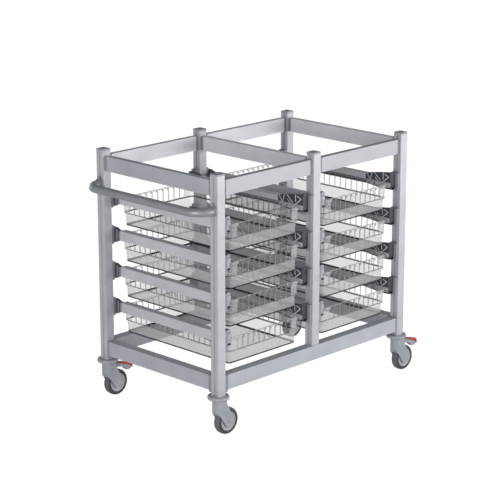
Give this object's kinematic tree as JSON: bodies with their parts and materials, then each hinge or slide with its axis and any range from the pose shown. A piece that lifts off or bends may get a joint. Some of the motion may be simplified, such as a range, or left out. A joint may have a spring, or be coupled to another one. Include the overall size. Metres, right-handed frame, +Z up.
{
  "type": "food service trolley",
  "caption": "Open aluminium trolley with two bays of pull-out clear baskets on runners, a push handle at one end and swivel casters.",
  "frame": {"origin": "on the floor, under the centre of the bounding box", "axes": "+X along the trolley away from the push handle, -Y towards the side the baskets pull out of, +Z up"},
  "size_m": [1.3014, 0.7298, 1.041],
  "materials": {
    "aluminium": "satin anodised",
    "runner_aluminium": "satin anodised",
    "connector_grey": "matte moulded",
    "grey_plastic": "matte moulded",
    "dark_plastic": "matte moulded",
    "clear_plastic": "clear moulded",
    "caster_grey": "matte moulded",
    "hub_grey": "matte moulded",
    "steel": "zinc plated",
    "tyre": "matte rubber",
    "red_plastic": "moulded"
  },
  "bodies": {
    "frame": {"base_back_beam": "aluminium", "base_connectors": "connector_grey", "base_cross_beam_left": "aluminium", "base_cross_beam_right": "aluminium", "base_front_beam": "aluminium", "bumper_rings": "caster_grey", "caster_stems": "steel", "handle_sockets": "connector_grey", "handle_tube": "aluminium", "left_bay_left_runners": "runner_aluminium", "left_bay_right_runners": "runner_aluminium", "middle_post_feet": "grey_plastic", "post_back_left": "aluminium", "post_back_middle": "aluminium", "post_back_right": "aluminium", "post_caps": "grey_plastic", "post_front_left": "aluminium", "post_front_middle": "aluminium", "post_front_right": "aluminium", "right_bay_left_runners": "runner_aluminium", "right_bay_right_runners": "runner_aluminium", "runner_back_ends": "dark_plastic", "runner_brackets": "connector_grey", "runner_front_ends": "dark_plastic", "top_back_beam_left": "aluminium", "top_back_beam_right": "aluminium", "top_connectors": "connector_grey", "top_cross_beam_left": "aluminium", "top_cross_beam_middle": "aluminium", "top_cross_beam_right": "aluminium", "top_front_beam_left": "aluminium", "top_front_beam_right": "aluminium"},
    "basket_left_1_body": {"basket_left_1": "clear_plastic"},
    "basket_left_2_body": {"basket_left_2": "clear_plastic"},
    "basket_left_3_body": {"basket_left_3": "clear_plastic"},
    "basket_left_4_body": {"basket_left_4": "clear_plastic"},
    "basket_right_1_body": {"basket_right_1": "clear_plastic"},
    "basket_right_2_body": {"basket_right_2": "clear_plastic"},
    "basket_right_3_body": {"basket_right_3": "clear_plastic"},
    "basket_right_4_body": {"basket_right_4": "clear_plastic"},
    "fork_front_left_body": {"fork_front_left": "caster_grey", "axle_front_left": "steel"},
    "wheel_front_left": {"hub_front_left": "hub_grey", "tyre_front_left": "tyre"},
    "fork_front_right_body": {"fork_front_right": "caster_grey", "axle_front_right": "steel"},
    "wheel_front_right": {"hub_front_right": "hub_grey", "tyre_front_right": "tyre"},
    "brake_front_right": {"brake_lever_front_right": "caster_grey", "brake_pad_front_right": "red_plastic"},
    "fork_back_left_body": {"fork_back_left": "caster_grey", "axle_back_left": "steel"},
    "wheel_back_left": {"hub_back_left": "hub_grey", "tyre_back_left": "tyre"},
    "brake_back_left": {"brake_lever_back_left": "caster_grey", "brake_pad_back_left": "red_plastic"},
    "fork_back_right_body": {"fork_back_right": "caster_grey", "axle_back_right": "steel"},
    "wheel_back_right": {"hub_back_right": "hub_grey", "tyre_back_right": "tyre"}
  },
  "joints": [
    {"name": "basket_left_1_slide", "type": "slide", "parent": "frame", "child": "basket_left_1_body", "axis": [0, -1, 0], "range_m": [0, 0.42]},
    {"name": "basket_left_2_slide", "type": "slide", "parent": "frame", "child": "basket_left_2_body", "axis": [0, -1, 0], "range_m": [0, 0.42]},
    {"name": "basket_left_3_slide", "type": "slide", "parent": "frame", "child": "basket_left_3_body", "axis": [0, -1, 0], "range_m": [0, 0.42]},
    {"name": "basket_left_4_slide", "type": "slide", "parent": "frame", "child": "basket_left_4_body", "axis": [0, -1, 0], "range_m": [0, 0.42]},
    {"name": "basket_right_1_slide", "type": "slide", "parent": "frame", "child": "basket_right_1_body", "axis": [0, -1, 0], "range_m": [0, 0.42]},
    {"name": "basket_right_2_slide", "type": "slide", "parent": "frame", "child": "basket_right_2_body", "axis": [0, -1, 0], "range_m": [0, 0.42]},
    {"name": "basket_right_3_slide", "type": "slide", "parent": "frame", "child": "basket_right_3_body", "axis": [0, -1, 0], "range_m": [0, 0.42]},
    {"name": "basket_right_4_slide", "type": "slide", "parent": "frame", "child": "basket_right_4_body", "axis": [0, -1, 0], "range_m": [0, 0.42]},
    {"name": "swivel_front_left", "type": "hinge", "parent": "frame", "child": "fork_front_left_body", "pos_m": [-0.53925, -0.32, 0.13], "axis": [0, 0, 1], "continuous": true},
    {"name": "wheel_spin_front_left", "type": "hinge", "parent": "fork_front_left_body", "child": "wheel_front_left", "pos_m": [-0.49925, -0.32, 0.054], "axis": [0, 1, 0], "continuous": true},
    {"name": "swivel_front_right", "type": "hinge", "parent": "frame", "child": "fork_front_right_body", "pos_m": [0.52475, -0.32, 0.13], "axis": [0, 0, 1], "continuous": true},
    {"name": "wheel_spin_front_right", "type": "hinge", "parent": "fork_front_right_body", "child": "wheel_front_right", "pos_m": [0.56475, -0.32, 0.054], "axis": [0, 1, 0], "continuous": true},
    {"name": "brake_pedal_front_right", "type": "hinge", "parent": "fork_front_right_body", "child": "brake_front_right", "pos_m": [0.55675, -0.32, 0.126], "axis": [0, 1, 0], "range_deg": [0, 10]},
    {"name": "swivel_back_left", "type": "hinge", "parent": "frame", "child": "fork_back_left_body", "pos_m": [-0.53925, 0.32, 0.13], "axis": [0, 0, 1], "continuous": true},
    {"name": "wheel_spin_back_left", "type": "hinge", "parent": "fork_back_left_body", "child": "wheel_back_left", "pos_m": [-0.49925, 0.32, 0.054], "axis": [0, 1, 0], "continuous": true},
    {"name": "brake_pedal_back_left", "type": "hinge", "parent": "fork_back_left_body", "child": "brake_back_left", "pos_m": [-0.50725, 0.32, 0.126], "axis": [0, 1, 0], "range_deg": [0, 10]},
    {"name": "swivel_back_right", "type": "hinge", "parent": "frame", "child": "fork_back_right_body", "pos_m": [0.52475, 0.32, 0.13], "axis": [0, 0, 1], "continuous": true},
    {"name": "wheel_spin_back_right", "type": "hinge", "parent": "fork_back_right_body", "child": "wheel_back_right", "pos_m": [0.56475, 0.32, 0.054], "axis": [0, 1, 0], "continuous": true}
  ]
}
